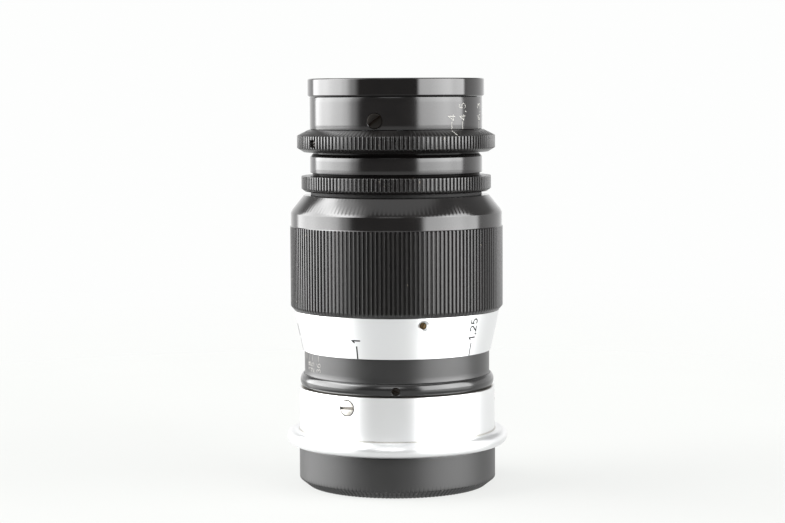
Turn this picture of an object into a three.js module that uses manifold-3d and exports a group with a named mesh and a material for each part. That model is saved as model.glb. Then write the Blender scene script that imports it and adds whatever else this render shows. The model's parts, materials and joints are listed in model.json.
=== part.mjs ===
// A 90 mm f/4 rangefinder camera lens of the long, black-lacquered and chrome-plated kind.
// Millimetres. +Z runs along the optical axis towards the front. The origin is the centre of
// the rear cap's flat base. An azimuth is measured from -Y towards +X, seen from the front.

import * as THREE from 'three';
import { mergeVertices } from 'three/addons/utils/BufferGeometryUtils.js';
import Module from 'manifold-3d';

const wasm = await Module();
wasm.setup();

// ---------------------------------------------------------------- driving dimensions

const SEAT_Z = 8.6; // the flange's rear face, which sits on the camera body
const GRIP_BASE_Z = 36.3; // bottom of the focusing grip
const SHOULDER_Z = 59.9; // top of the focusing grip's shoulder
const RING_Z = 69.6; // bottom of the aperture ring's knurl
const HEIGHT = 83.7; // overall height with the cap on

const THREAD_RADIUS = 19.5; // 39 mm screw mount
const CAP_RADIUS = 20.3;
const FLANGE_RADIUS = 22.8;
const FLANGE_THICKNESS = 2.9;
const MOUNT_TUBE_RADIUS = 20.2;
const SCALE_TUBE_RADIUS = 19.1;
const GRIP_RADIUS = 21.9;
const COLLAR_RADIUS = 19.5;
const NECK_RADIUS = 17.7;
const RING_RADIUS = 20.35;
const RIM_RADIUS = 18.15; // the slip-on front, 36 mm nominal
const STOP_RADIUS = 11.25; // clear radius at f/4
const RUNNING_GAP = 0.15; // radial clearance between pieces that turn or slide on each other

const SLEEVE_TRAVEL = 2.8; // rangefinder sleeve, infinity to 1 m

const BLADE_COUNT = 10;
const BLADE_PIVOT_RADIUS = 14.4;
const BLADE_SPAN = 140; // degrees of arc from the pivot pin to the drive pin
const BLADE_THICKNESS = 0.05;
const BLADE_RISE = 0.075; // fall of the blade per millimetre along its arc, so that blades interleave

const RING_SIDES = 32;
const GLASS_SIDES = 24;
const PIN_SIDES = 8;
const SCREW_SIDES = 12;

// ---------------------------------------------------------------- materials

function finish(color, roughness, metalness) {
  return () => new THREE.MeshStandardMaterial({ color, roughness, metalness });
}

const lacquer = finish(0x0c0c0d, 0.22, 0.3);
const satinBlack = finish(0x232324, 0.55, 0.3);
const chrome = finish(0xd8d9db, 0.3, 1);
const brass = finish(0xb18a45, 0.4, 1);
const steel = finish(0x9c9a94, 0.35, 1);
const mattBlack = finish(0x141414, 0.85, 0.1);
const bladeSteel = finish(0x3a3b3e, 0.45, 0.9);
const capBlack = finish(0x1b1b1c, 0.5, 0.2);

function glass() {
  return new THREE.MeshStandardMaterial({
    color: 0xcfe0ea, roughness: 0.05, metalness: 0, transparent: true, opacity: 0.35,
  });
}

// ---------------------------------------------------------------- shape helpers

const radians = THREE.MathUtils.degToRad;

function polar(radius, degrees) {
  return new THREE.Vector2(radius * Math.cos(radians(degrees)), radius * Math.sin(radians(degrees)));
}

function signedArea(profile) {
  let area = 0;
  profile.forEach(([r, z], i) => {
    const [nextR, nextZ] = profile[(i + 1) % profile.length];
    area += (r * nextZ - nextR * z) / 2;
  });
  return area;
}

// Turns a profile of [radius, height] points about the optical axis. A profile that starts and
// ends on the axis makes a disc, any other closes on itself and makes a ring.
function turned(profile, sides = RING_SIDES) {
  const points = profile.map(([r, z]) => new THREE.Vector2(r, z));
  const onAxis = profile[0][0] === 0;
  if (signedArea(profile) < 0) points.reverse();
  if (!onAxis) points.push(points[0].clone());
  const geometry = new THREE.LatheGeometry(points, sides);
  geometry.rotateX(Math.PI / 2);
  return geometry;
}

// A plain ring between two radii and two heights.
function ring(innerR, outerR, bottom, top, sides = RING_SIDES) {
  return turned([[innerR, bottom], [outerR, bottom], [outerR, top], [innerR, top]], sides);
}

// Points along an ellipse in the profile plane, angles in degrees from the outward direction.
function arc(centreR, centreZ, reachR, reachZ, from, to, steps) {
  return Array.from({ length: steps + 1 }, (_, i) => {
    const unit = polar(1, from + ((to - from) * i) / steps);
    return [centreR + reachR * unit.x, centreZ + reachZ * unit.y];
  });
}

// A lens surface from the axis out to its edge. A positive curve bulges towards +Z.
function surface(vertexZ, curve, edgeR, steps) {
  return Array.from({ length: steps + 1 }, (_, i) => {
    const r = (edgeR * i) / steps;
    const sag = Math.abs(curve) - Math.sqrt(curve * curve - r * r);
    return [r, vertexZ - Math.sign(curve) * sag];
  });
}

function toSolid(geometry) {
  const bare = geometry.clone();
  bare.deleteAttribute('normal');
  bare.deleteAttribute('uv');
  const merged = mergeVertices(bare, 1e-4);
  const corners = merged.index.array;
  const kept = [];
  for (let i = 0; i < corners.length; i += 3) {
    const [a, b, c] = corners.slice(i, i + 3);
    if (a !== b && b !== c && c !== a) kept.push(a, b, c);
  }
  return new wasm.Manifold(new wasm.Mesh({
    numProp: 3,
    vertProperties: new Float32Array(merged.attributes.position.array),
    triVerts: new Uint32Array(kept),
  }));
}

function toGeometry(solid) {
  const { vertProperties, triVerts } = solid.getMesh();
  const geometry = new THREE.BufferGeometry();
  geometry.setAttribute('position', new THREE.BufferAttribute(new Float32Array(vertProperties), 3));
  geometry.setIndex(new THREE.BufferAttribute(new Uint32Array(triVerts), 1));
  geometry.computeVertexNormals();
  return geometry;
}

function cut(geometry, cutters) {
  return toGeometry(cutters.reduce((solid, cutter) => solid.subtract(toSolid(cutter)), toSolid(geometry)));
}

function join(geometries) {
  return toGeometry(geometries.map(toSolid).reduce((whole, piece) => whole.add(piece)));
}

// Carries a piece made along +Z to a place on the lens's side, with its +Z pointing outwards.
function outward(azimuth, radius, z) {
  return new THREE.Matrix4()
    .makeRotationZ(radians(azimuth))
    .multiply(new THREE.Matrix4().makeTranslation(0, -radius, z))
    .multiply(new THREE.Matrix4().makeRotationX(Math.PI / 2));
}

// A round bar along a radius.
function radialBar(diameter, innerR, outerR, azimuth, z, sides = SCREW_SIDES) {
  const bar = new THREE.CylinderGeometry(diameter / 2, diameter / 2, outerR - innerR, sides);
  bar.rotateX(Math.PI / 2);
  return bar.applyMatrix4(outward(azimuth, (innerR + outerR) / 2, z));
}

// A block bounded by two radii, two azimuths and two heights.
function sector(innerR, outerR, fromAzimuth, toAzimuth, bottom, top, steps) {
  const start = radians(fromAzimuth - 90);
  const end = radians(toAzimuth - 90);
  const shape = new THREE.Shape();
  shape.absarc(0, 0, outerR, start, end, false);
  shape.absarc(0, 0, innerR, end, start, true);
  const block = new THREE.ExtrudeGeometry(shape, {
    depth: top - bottom, bevelEnabled: false, curveSegments: steps,
  });
  return block.translate(0, 0, bottom);
}

function named(name, geometry, material) {
  const mesh = new THREE.Mesh(geometry, material());
  mesh.name = name;
  return mesh;
}

// ---------------------------------------------------------------- fasteners

// A fastener's record gives its own diameters, length and slot, the diameter of the hole it sits in,
// the radius of its outer face from the axis, its height and its azimuths.

function threeFrom(azimuth) {
  return [0, 120, 240].map((turn) => azimuth + turn);
}

const mountScrews = {
  head: 3.05, headHeight: 0.6, shank: 1.6, length: 1.9, slotAngle: 0,
  hole: 3.3, faceR: MOUNT_TUBE_RADIUS, z: 18.1, azimuths: threeFrom(-29.5),
};
const barrelScrews = {
  head: 3, headHeight: 0.55, shank: 1.6, length: 0.65, slotAngle: 37,
  hole: 3.2, faceR: NECK_RADIUS - 0.02, z: 75.2, azimuths: threeFrom(-14),
};
const driveScrew = {
  head: 1.4, headHeight: 2.3, shank: 0.8, length: 4.6, slotAngle: 0,
  hole: 1.7, faceR: RING_RADIUS - 0.5, z: RING_Z + 1, azimuths: [-56],
};
const scaleTubeScrews = {
  diameter: 1.5, length: 1.8, slotAngle: 20, hole: 1.8, faceR: 19.8, z: 21.6, azimuths: threeFrom(-1),
};
const scaleRingScrews = {
  diameter: 1.35, length: 1.1, slotAngle: 60, hole: 1.6, faceR: 20.75, z: 34.75, azimuths: threeFrom(14.7),
};
const neckScrew = {
  diameter: 1.2, length: 1.9, slotAngle: 0, hole: 1.4, faceR: 17.5, z: 66, azimuths: [88],
};
const guidePin = { diameter: 1.6, length: 2.4, faceR: 17.4, z: 11, azimuths: [150] };

// A slotted screw along +Z with the middle of its flat head's face at the origin.
function slottedScrew({ head, headHeight, shank, length, slotAngle }) {
  const headR = head / 2;
  const shankR = shank / 2;
  const body = turned([
    [0, -length], [shankR, -length], [shankR, -headHeight], [headR, -headHeight], [headR, 0], [0, 0],
  ], SCREW_SIDES);
  const slotDepth = Math.min(headHeight / 2, head / 4);
  const slot = new THREE.BoxGeometry(head * 2, head * 0.18, slotDepth * 2);
  slot.rotateZ(radians(slotAngle));
  return cut(body, [slot]);
}

// A headless set screw along +Z with a slot across its outer end.
function setScrew({ diameter, length, slotAngle }) {
  const body = turned([[0, -length], [diameter / 2, -length], [diameter / 2, 0], [0, 0]], SCREW_SIDES);
  const slot = new THREE.BoxGeometry(diameter * 2, diameter * 0.2, diameter * 0.5);
  slot.rotateZ(radians(slotAngle));
  return cut(body, [slot]);
}

// One mesh of a fastener for each of its azimuths.
function fasteners(name, geometry, material, { faceR, z, azimuths }) {
  return azimuths.map((azimuth, i) => {
    const mesh = named(azimuths.length > 1 ? `${name}_${i + 1}` : name, geometry, material);
    mesh.applyMatrix4(outward(azimuth, faceR, z));
    return mesh;
  });
}

// The holes that a set of fasteners sits in, as cutters between two radii.
function holesFor({ hole, z, azimuths }, innerR, outerR) {
  return azimuths.map((azimuth) => radialBar(hole, innerR, outerR, azimuth, z));
}

// ---------------------------------------------------------------- rear cap and mount

function rearCap() {
  const wallR = THREAD_RADIUS + 0.25;
  const floorZ = 0.8;
  return turned([
    [0, 0], [18.4, 0], [CAP_RADIUS, 1.5], [CAP_RADIUS, SEAT_Z - 0.05],
    [wallR, SEAT_Z - 0.05], [wallR, floorZ], [0, floorZ],
  ]);
}

const BORE_RADIUS = 17.2; // through the mount, clear of the coupling sleeve
const COUNTERBORE_Z = 13.2; // seat for the fixed helicoid's flange
const COUNTERBORE_RADIUS = 19.05;
const MOUNT_TOP_Z = 20.4;

function mountRing() {
  const rimHalf = FLANGE_THICKNESS / 2;
  const body = turned([
    [BORE_RADIUS, 4.3], [19, 4.3], [THREAD_RADIUS, 4.8], [THREAD_RADIUS, SEAT_Z],
    [CAP_RADIUS + 0.15, SEAT_Z],
    ...arc(FLANGE_RADIUS - rimHalf, SEAT_Z + rimHalf, rimHalf, rimHalf, -90, 90, 4),
    [MOUNT_TUBE_RADIUS, SEAT_Z + FLANGE_THICKNESS], [MOUNT_TUBE_RADIUS, MOUNT_TOP_Z],
    [COUNTERBORE_RADIUS, MOUNT_TOP_Z], [COUNTERBORE_RADIUS, COUNTERBORE_Z],
    [BORE_RADIUS, COUNTERBORE_Z],
  ]);
  const pinHole = radialBar(guidePin.diameter + 0.15, 17, 18.7, guidePin.azimuths[0], guidePin.z);
  return cut(body, [...holesFor(mountScrews, 18.9, 21), pinHole]);
}

const SKIRT_TOP_Z = 40.4;

function depthScaleRing() {
  const boreR = 18.1;
  const beadR = 20;
  const body = turned([
    [boreR, 15], [18.9, 15], [18.9, MOUNT_TOP_Z], [19.6, MOUNT_TOP_Z], [beadR, 21.2], [beadR, 22.3],
    [19.7, 22.9], [SCALE_TUBE_RADIUS, 23.2], [SCALE_TUBE_RADIUS, SKIRT_TOP_Z], [boreR, SKIRT_TOP_Z],
  ]);
  const tapped = holesFor({ ...mountScrews, hole: mountScrews.shank + 0.3 }, 17.9, 19);
  return cut(body, [...holesFor(scaleTubeScrews, 17.9, 20.5), ...tapped]);
}

const HELICOID_BORE = 16.9;
const HELICOID_RADIUS = 17.8;
const HELICOID_TOP_Z = 52;

function fixedHelicoid() {
  return turned([
    [HELICOID_BORE, COUNTERBORE_Z + 0.1], [18.95, COUNTERBORE_Z + 0.1], [18.95, 14.8],
    [HELICOID_RADIUS, 14.8], [HELICOID_RADIUS, HELICOID_TOP_Z], [HELICOID_BORE, HELICOID_TOP_Z],
  ]);
}

// The lug that stops the focusing at infinity, soldered on the fixed helicoid's end.
const LUG_AZIMUTH = 60;
const LUG_HALF_WIDTH = 4;

function infinityStopLug() {
  const top = HELICOID_TOP_Z + 1.2;
  return sector(
    17, 17.7, LUG_AZIMUTH - LUG_HALF_WIDTH, LUG_AZIMUTH + LUG_HALF_WIDTH, HELICOID_TOP_Z + 0.02, top, 2,
  );
}

function couplingSleeve() {
  const outerR = HELICOID_BORE - RUNNING_GAP;
  const rearZ = SEAT_Z - 7.5; // the sleeve's end stands 7.5 mm behind the flange at infinity
  const keyway = new THREE.BoxGeometry(guidePin.diameter + 0.3, SLEEVE_TRAVEL + guidePin.diameter + 0.5, 3);
  keyway.applyMatrix4(outward(guidePin.azimuths[0], outerR - 0.5, guidePin.z - SLEEVE_TRAVEL / 2));
  return cut(ring(15.6, outerR, rearZ, 34), [keyway]);
}

function sleeveGuidePin() {
  const { diameter, length } = guidePin;
  const pin = new THREE.CylinderGeometry(diameter / 2, diameter / 2, length, SCREW_SIDES);
  return pin.rotateX(Math.PI / 2);
}

// ---------------------------------------------------------------- focusing barrel

const BARREL_BORE = 19.45;
const SPIGOT_RADIUS = 16.9;
const SPIGOT_BORE = SPIGOT_RADIUS + 0.2;
const STEP_Z = 54.2; // the shoulder inside the barrel that the drive tube seats under

function focusBarrel() {
  const sleeveR = 20.05; // the barrel's own tube inside the scale ring
  const body = turned([
    [BARREL_BORE, 33.15], [sleeveR, 33.15], [sleeveR, GRIP_BASE_Z], [21.15, GRIP_BASE_Z],
    [GRIP_RADIUS, 37.2], [GRIP_RADIUS, 53.5], [21.75, 53.7], [21.75, 56.3], [21.4, 57],
    [19.05, SHOULDER_Z], [SPIGOT_BORE, SHOULDER_Z], [SPIGOT_BORE, STEP_Z], [BARREL_BORE, STEP_Z],
  ]);
  return cut(body, holesFor(scaleRingScrews, 19, 20.15));
}

function distanceScaleRing() {
  const edgeR = 19.25;
  const collarR = 20.2;
  const body = turned([
    [edgeR, 28], [edgeR + 0.17, 28], [21.2, GRIP_BASE_Z],
    [collarR, GRIP_BASE_Z], [collarR, 33], [edgeR, 33],
  ]);
  return cut(body, holesFor(scaleRingScrews, 20, 21.5));
}

function movingHelicoid() {
  return ring(HELICOID_RADIUS + RUNNING_GAP, BARREL_BORE - 0.15, 41, 52.4);
}

const FLANGE_Z = 52.6; // underside of the drive tube's flange

function couplingDriveTube() {
  const tubeR = 15.4;
  const body = turned([
    [14.4, 22], [tubeR, 22], [tubeR, FLANGE_Z], [BARREL_BORE - 0.15, FLANGE_Z],
    [BARREL_BORE - 0.15, STEP_Z - 0.2], [14.4, STEP_Z - 0.2],
  ]);
  const clearOfLug = 28; // degrees the barrel turns before the flange has risen off the lug
  const notch = sector(
    16.7, 18, LUG_AZIMUTH - LUG_HALF_WIDTH - clearOfLug, LUG_AZIMUTH + LUG_HALF_WIDTH + 1,
    FLANGE_Z - 1, FLANGE_Z + 0.9, 6,
  );
  return cut(body, [notch]);
}

// ---------------------------------------------------------------- lens head

const COLLAR_Z = 60.7;
const NECK_Z = 64.5;
const GROOVE_RADIUS = 17.1;
const CHAMBER_RADIUS = 16.2; // the space for the iris
const HEAD_TOP_Z = 73.2;
const CAM_Z = 70; // underside of the iris cam ring
const APERTURE_TURN = 82.6; // f/4 to f/36

function headShim() {
  return ring(SPIGOT_BORE, 17.6, SHOULDER_Z + 0.03, COLLAR_Z - 0.03);
}

function headCollar() {
  return turned([
    [SPIGOT_BORE, COLLAR_Z], [18.8, COLLAR_Z], [COLLAR_RADIUS, 61.3], [COLLAR_RADIUS, 63.85],
    [SPIGOT_BORE, 63.85],
  ]);
}

function headTube() {
  const cellBore = 14.5;
  const glassBore = 10.15;
  const seatR = 9.4;
  const body = turned([
    [cellBore, 54.4], [SPIGOT_RADIUS, 54.4], [SPIGOT_RADIUS, 63.9], [17.2, 63.9], [17.2, NECK_Z],
    [NECK_RADIUS, NECK_Z], [NECK_RADIUS, 67.8], [GROOVE_RADIUS, 68.4], [GROOVE_RADIUS, HEAD_TOP_Z],
    [CHAMBER_RADIUS, HEAD_TOP_Z], [CHAMBER_RADIUS, 69.9], [glassBore, 69.9], [glassBore, 66.2],
    [seatR, 66.2], [seatR, 66.05], [cellBore, 66.05],
  ]);
  const [start] = driveScrew.azimuths;
  const slot = sector(
    15.9, 17.5, start - 2.5, start + APERTURE_TURN + 2.5, driveScrew.z - 0.65, driveScrew.z + 0.65, 10,
  );
  return cut(body, [slot, ...holesFor(neckScrew, 15.4, 18)]);
}

function frontBarrel() {
  const plateBore = 16.75;
  const glassBore = 12.65;
  const seatR = 11.8;
  const body = turned([
    [plateBore, 73.4], [NECK_RADIUS, 73.4], [NECK_RADIUS, 79.9], [plateBore, 79.9], [plateBore, 79.3],
    [glassBore, 79.3], [glassBore, 76.2], [seatR, 76.2], [seatR, 75.05], [plateBore, 75.05],
  ]);
  return cut(body, holesFor(barrelScrews, 16.95, 18.5));
}

function frontRim() {
  const boreR = 16.8;
  return turned([
    [boreR, 79.95], [NECK_RADIUS, 79.95], [RIM_RADIUS, 80.3], [RIM_RADIUS, HEIGHT - 0.2],
    [RIM_RADIUS - 0.2, HEIGHT], [boreR, HEIGHT],
  ]);
}

function frontRetainingRing() {
  return turned([
    [11.9, 78.4], [12.5, 78.4], [12.5, 79.45], [16.6, 79.45], [16.6, 82.4], [13.2, 80.5], [11.9, 79],
  ]);
}

function apertureRing() {
  const boreR = GROOVE_RADIUS + RUNNING_GAP;
  const body = turned([
    [boreR, 68.75], [19, 68.75], [RING_RADIUS, RING_Z], [RING_RADIUS, 72.1], [17.95, 73.3], [boreR, 73.3],
  ]);
  return cut(body, holesFor(driveScrew, 17, 21));
}

// ---------------------------------------------------------------- iris

const BLADE_INNER = 11.4;
const BLADE_OUTER = 15.9;
const PIVOT_Z = 74; // height of a blade's surface at its pivot pin
const TAIL_RADIUS = 1.5; // round end about each pin

function bladeHeight(degrees) {
  return PIVOT_Z - BLADE_RISE * BLADE_PIVOT_RADIUS * radians(degrees);
}

// The inner and outer radius of a blade at an angle along its arc, with a round end at each pin.
function bladeEdges(degrees) {
  const beyond = Math.max(-degrees, degrees - BLADE_SPAN, 0);
  const along = BLADE_PIVOT_RADIUS * radians(beyond);
  const half = Math.sqrt(Math.max(TAIL_RADIUS ** 2 - along ** 2, 0.05));
  const inset = Math.min(degrees, BLADE_SPAN - degrees);
  const blend = THREE.MathUtils.smoothstep(inset, 0, 12);
  return [
    THREE.MathUtils.lerp(BLADE_PIVOT_RADIUS - half, BLADE_INNER, blend),
    THREE.MathUtils.lerp(BLADE_PIVOT_RADIUS + half, BLADE_OUTER, blend),
  ];
}

// A thin curved leaf that falls steadily along its arc, so that each leaf lies on the next.
function bladeLeaf() {
  const reach = THREE.MathUtils.radToDeg(TAIL_RADIUS / BLADE_PIVOT_RADIUS) - 0.05;
  const middle = Array.from({ length: 15 }, (_, i) => (BLADE_SPAN * i) / 14);
  const angles = [-reach, -reach * 0.7, ...middle, BLADE_SPAN + reach * 0.7, BLADE_SPAN + reach];
  const vertices = [];
  angles.forEach((degrees) => {
    const z = bladeHeight(degrees);
    const [innerR, outerR] = bladeEdges(degrees);
    const inner = polar(innerR, degrees);
    const outer = polar(outerR, degrees);
    vertices.push(inner.x, inner.y, z - BLADE_THICKNESS / 2, outer.x, outer.y, z - BLADE_THICKNESS / 2);
    vertices.push(outer.x, outer.y, z + BLADE_THICKNESS / 2, inner.x, inner.y, z + BLADE_THICKNESS / 2);
  });
  const faces = [0, 1, 2, 0, 2, 3];
  for (let station = 0; station < angles.length - 1; station += 1) {
    for (let corner = 0; corner < 4; corner += 1) {
      const a = station * 4 + corner;
      const b = station * 4 + ((corner + 1) % 4);
      faces.push(a, a + 4, b, b, a + 4, b + 4);
    }
  }
  const end = (angles.length - 1) * 4;
  faces.push(end, end + 2, end + 1, end, end + 3, end + 2);
  const leaf = new THREE.BufferGeometry();
  leaf.setAttribute('position', new THREE.Float32BufferAttribute(vertices, 3));
  leaf.setIndex(faces);
  return leaf;
}

function bladePin(degrees, bottom, top, diameter) {
  const pin = new THREE.CylinderGeometry(diameter / 2, diameter / 2, top - bottom, PIN_SIDES);
  pin.rotateX(Math.PI / 2);
  const centre = polar(BLADE_PIVOT_RADIUS, degrees);
  return pin.translate(centre.x, centre.y, (bottom + top) / 2);
}

const CAM_THICKNESS = 1.2;
const PLATE_Z = 74.25; // underside of the plate that the blades pivot in
const PLATE_THICKNESS = 0.7;
const PIN_DIAMETER = 0.5;
const FIRST_BLADE = 18; // keeps the cam ring's slots clear of the drive screw

function irisBlade() {
  return join([
    bladeLeaf(),
    bladePin(0, PIVOT_Z, PLATE_Z + PLATE_THICKNESS, PIN_DIAMETER),
    bladePin(BLADE_SPAN, CAM_Z + 0.1, bladeHeight(BLADE_SPAN), PIN_DIAMETER),
  ]);
}

function bladeAngles() {
  return Array.from({ length: BLADE_COUNT }, (_, i) => FIRST_BLADE + (360 * i) / BLADE_COUNT);
}

function irisBasePlate() {
  const plate = ring(STOP_RADIUS, 16.6, PLATE_Z, PLATE_Z + PLATE_THICKNESS);
  const holes = bladeAngles().map((angle) => (
    bladePin(0, PLATE_Z - 1, PLATE_Z + 2, PIN_DIAMETER + 0.25).rotateZ(radians(angle))));
  return cut(plate, holes);
}

function irisCamRing() {
  const body = ring(11.5, CHAMBER_RADIUS - RUNNING_GAP - 0.1, CAM_Z, CAM_Z + CAM_THICKNESS);
  const innerEnd = 12.2;
  const outerEnd = 15.05;
  const slots = bladeAngles().map((angle) => {
    const slot = new THREE.BoxGeometry(outerEnd - innerEnd, PIN_DIAMETER + 0.7, CAM_THICKNESS * 3);
    slot.translate((innerEnd + outerEnd) / 2, 0, CAM_Z);
    return slot.rotateZ(radians(angle + BLADE_SPAN));
  });
  // The drive screw reaches through the head tube's slot and turns this ring.
  const shankHole = { ...driveScrew, hole: driveScrew.shank + 0.15 };
  return cut(body, [...slots, ...holesFor(shankHole, 15.1, 17)]);
}

function iris() {
  const blade = irisBlade();
  return bladeAngles().map((angle, i) => {
    const mesh = named(`iris_blade_${i + 1}`, blade, bladeSteel);
    mesh.rotation.z = radians(angle);
    return mesh;
  });
}

// ---------------------------------------------------------------- glasses and their rings

const FRONT_GLASS_RADIUS = 12.5;
const SECOND_GLASS_RADIUS = 10;
const REAR_GLASS_RADIUS = 10.5;
const CEMENT_GAP = 0.03;

// A lens from its rear and front surfaces, each given as a vertex height and a radius of curvature.
function lensElement(rear, front, edgeR, steps) {
  const back = surface(rear.z, rear.curve, edgeR, steps);
  const face = surface(front.z, front.curve, edgeR, steps).reverse();
  return turned([...back, ...face], GLASS_SIDES);
}

function frontGlass() {
  return lensElement({ z: 76.3, curve: 900 }, { z: 81, curve: 26 }, FRONT_GLASS_RADIUS, 4);
}

function secondGlass() {
  return lensElement({ z: 67.9, curve: 31 }, { z: 68.9, curve: -250 }, SECOND_GLASS_RADIUS, 3);
}

function rearGlassInner() {
  return lensElement({ z: 64.4 + CEMENT_GAP, curve: 25 }, { z: 65.5, curve: -200 }, REAR_GLASS_RADIUS, 4);
}

function rearGlassOuter() {
  return lensElement({ z: 59.8, curve: -35 }, { z: 64.4, curve: 25 }, REAR_GLASS_RADIUS, 4);
}

function secondGlassRing() {
  return ring(9.3, 10.05, 69.25, 69.85, GLASS_SIDES);
}

function rearCell() {
  return turned([
    [10.65, 60.2], [14.35, 60.2], [14.35, 65.98], [9.6, 65.98], [9.6, 65.85], [10.65, 65.85],
  ], GLASS_SIDES);
}

function rearGlassRing() {
  return ring(9.5, 10.55, 60.3, 61, GLASS_SIDES);
}

function lightBaffle() {
  return turned([
    [14, 55], [14.25, 55], [14.25, 59.4], [10.2, 59.4], [10.2, 59.1], [14, 59.1],
  ], GLASS_SIDES);
}

// ---------------------------------------------------------------- assembly

function mountGroup() {
  const group = new THREE.Group();
  group.add(
    named('mount_ring', mountRing(), chrome),
    named('depth_scale_ring', depthScaleRing(), satinBlack),
    named('fixed_helicoid', fixedHelicoid(), brass),
    named('infinity_stop_lug', infinityStopLug(), brass),
    ...fasteners('mount_screw', slottedScrew(mountScrews), steel, mountScrews),
    ...fasteners('depth_ring_set_screw', setScrew(scaleTubeScrews), steel, scaleTubeScrews),
    ...fasteners('sleeve_guide_pin', sleeveGuidePin(), steel, guidePin),
  );
  return group;
}

function focusingGroup() {
  const group = new THREE.Group();
  group.add(
    named('focus_barrel', focusBarrel(), lacquer),
    named('distance_scale_ring', distanceScaleRing(), chrome),
    named('moving_helicoid', movingHelicoid(), brass),
    named('coupling_drive_tube', couplingDriveTube(), brass),
    ...fasteners('scale_ring_set_screw', setScrew(scaleRingScrews), brass, scaleRingScrews),
  );
  return group;
}

function headGroup() {
  const group = new THREE.Group();
  group.add(
    named('head_shim', headShim(), satinBlack),
    named('head_collar', headCollar(), lacquer),
    named('head_tube', headTube(), lacquer),
    named('front_barrel', frontBarrel(), lacquer),
    named('front_rim', frontRim(), lacquer),
    named('front_retaining_ring', frontRetainingRing(), mattBlack),
    named('iris_base_plate', irisBasePlate(), mattBlack),
    named('second_glass_ring', secondGlassRing(), mattBlack),
    named('rear_cell', rearCell(), mattBlack),
    named('rear_glass_ring', rearGlassRing(), mattBlack),
    ...fasteners('barrel_screw', slottedScrew(barrelScrews), steel, barrelScrews),
    ...fasteners('head_lock_screw', setScrew(neckScrew), steel, neckScrew),
  );
  return group;
}

function glassGroup() {
  const group = new THREE.Group();
  group.add(
    named('front_glass', frontGlass(), glass),
    named('second_glass', secondGlass(), glass),
    named('rear_glass_inner', rearGlassInner(), glass),
    named('rear_glass_outer', rearGlassOuter(), glass),
  );
  return group;
}

function apertureGroup() {
  const group = new THREE.Group();
  group.add(
    named('aperture_ring', apertureRing(), lacquer),
    named('iris_cam_ring', irisCamRing(), mattBlack),
    ...fasteners('aperture_drive_screw', slottedScrew(driveScrew), steel, driveScrew),
    ...iris(),
  );
  return group;
}

const lens = new THREE.Group();
lens.add(
  named('rear_cap', rearCap(), capBlack),
  mountGroup(),
  named('coupling_sleeve', couplingSleeve(), brass),
  focusingGroup(),
  headGroup(),
  glassGroup(),
  named('light_baffle', lightBaffle(), mattBlack),
  apertureGroup(),
);

export default lens;
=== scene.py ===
"""A 90 mm f/4 rangefinder lens of the long kind: black lacquer, satin chrome and a rear cap.

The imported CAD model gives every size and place. Its turned pieces are turned again here at full
smoothness, with their knurls, threads, engraved scales and screw slots as real geometry.
"""

import json
import math

import bmesh
import bpy
import numpy as np
from mathutils import Matrix, Vector


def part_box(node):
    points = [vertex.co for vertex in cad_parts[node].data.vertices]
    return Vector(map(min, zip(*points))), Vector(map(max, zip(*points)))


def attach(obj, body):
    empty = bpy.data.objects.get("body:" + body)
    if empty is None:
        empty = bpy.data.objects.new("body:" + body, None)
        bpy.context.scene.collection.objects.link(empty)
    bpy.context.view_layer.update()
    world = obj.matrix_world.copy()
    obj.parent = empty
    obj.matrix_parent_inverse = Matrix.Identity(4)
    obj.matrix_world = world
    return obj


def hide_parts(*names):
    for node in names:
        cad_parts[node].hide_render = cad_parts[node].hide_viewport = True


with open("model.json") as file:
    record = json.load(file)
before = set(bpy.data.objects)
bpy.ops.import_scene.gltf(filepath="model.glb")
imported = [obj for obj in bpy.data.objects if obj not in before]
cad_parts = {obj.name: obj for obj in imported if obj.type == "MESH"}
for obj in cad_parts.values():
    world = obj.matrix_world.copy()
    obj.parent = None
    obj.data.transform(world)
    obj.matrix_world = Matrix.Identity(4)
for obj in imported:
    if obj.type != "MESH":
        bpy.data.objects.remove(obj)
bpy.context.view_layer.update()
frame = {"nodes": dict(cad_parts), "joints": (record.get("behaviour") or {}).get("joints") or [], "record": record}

MM = 0.001
BACK = 180.0  # an azimuth on a column of CAD corners, where no hole or slot is cut
IRIS_BACK = 157.5  # the same for the iris plates
EVERY_TURN = 2 * math.pi
WALL_SIDES = 288  # flat sides of the turned outer walls, of inner tubes and of screws
TUBE_SIDES = 160
IRIS_SIDES = 240
SCREW_SIDES = 48
MOUNT_PITCH = round(25.4 / 26, 3)  # 26 turns to the inch
SLEEVE_LEAD_SHARE = 0.28  # the rangefinder sleeve's lead, as a share of the focusing lead

# ---- reading the frame


def section(node, azimuth=BACK):
    """A turned CAD node's outline as (radius, height) corners in mm, anticlockwise from the bottom."""
    turn = math.radians(azimuth)
    outwards = Vector((math.sin(turn), -math.cos(turn), 0))
    bm = bmesh.new()
    bm.from_mesh(frame["nodes"][node].data)
    bmesh.ops.remove_doubles(bm, verts=bm.verts, dist=0.001 * MM)
    bmesh.ops.bisect_plane(
        bm, geom=bm.verts[:] + bm.edges[:] + bm.faces[:], dist=0.002 * MM, plane_co=(0, 0, 0),
        plane_no=outwards.cross(Vector((0, 0, 1))), clear_inner=True, clear_outer=True,
    )
    behind = [v for v in bm.verts if v.co.dot(outwards) < -0.001 * MM]
    bmesh.ops.delete(bm, geom=behind, context="VERTS")
    vertex = min(bm.verts, key=lambda v: (len(v.link_edges), v.co.z))
    chain, seen = [], set()
    while vertex is not None:
        seen.add(vertex)
        chain.append((vertex.co.dot(outwards) / MM, vertex.co.z / MM))
        ahead = [e.other_vert(vertex) for e in vertex.link_edges]
        vertex = next((v for v in ahead if v not in seen), None)
    bm.free()
    return anticlockwise(corners_only(chain))


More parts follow.
